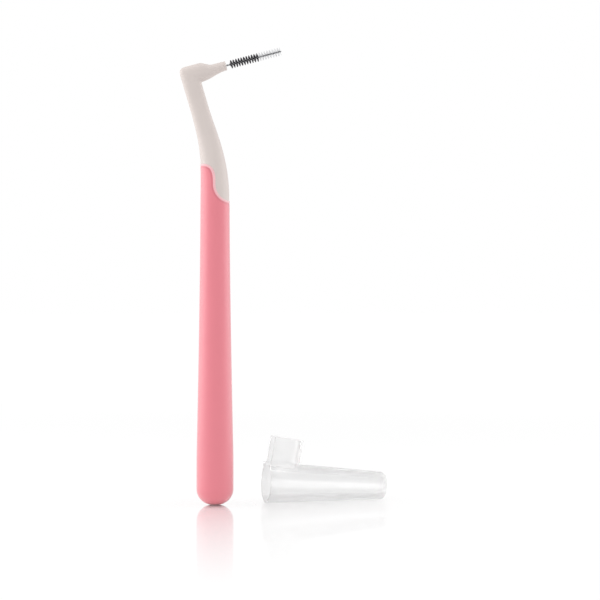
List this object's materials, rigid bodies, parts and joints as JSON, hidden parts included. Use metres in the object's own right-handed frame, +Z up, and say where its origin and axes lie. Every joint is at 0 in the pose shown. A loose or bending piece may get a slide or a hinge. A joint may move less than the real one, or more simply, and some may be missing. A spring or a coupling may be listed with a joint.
{
  "type": "interdental brush",
  "caption": "Angled interdental brush with a round tapered grip, a slim bent neck and a twisted-wire bristle head, and a loose conical clear cap with a side channel for the neck.",
  "frame": {"origin": "on the surface that the brush stands on and the cap lies on, under the middle of the whole object's box", "axes": "+Z up along the handle, +X the way the cap points and, turned by 14 degrees towards -Y about the handle, the way the head and the bristles point"},
  "size_m": [0.0586, 0.0116, 0.1264],
  "materials": {
    "grip": "satin pink overmould",
    "neck": "satin warm grey moulding",
    "wire": "drawn twisted wire",
    "bristles_black": "black filament",
    "bristles_clear": "clear filament",
    "cap": "clear, faintly frosted moulding"
  },
  "bodies": {
    "brush": {"grip": "grip", "neck": "neck", "wire": "wire", "bristles_black": "bristles_black", "bristles_clear": "bristles_clear"},
    "cap": {"cap": "cap"}
  },
  "joints": [
    {"name": "cap_slide", "type": "slide", "parent": "brush", "child": "cap", "axis": [1, 0, 0], "range_m": [0, 0.03]}
  ]
}
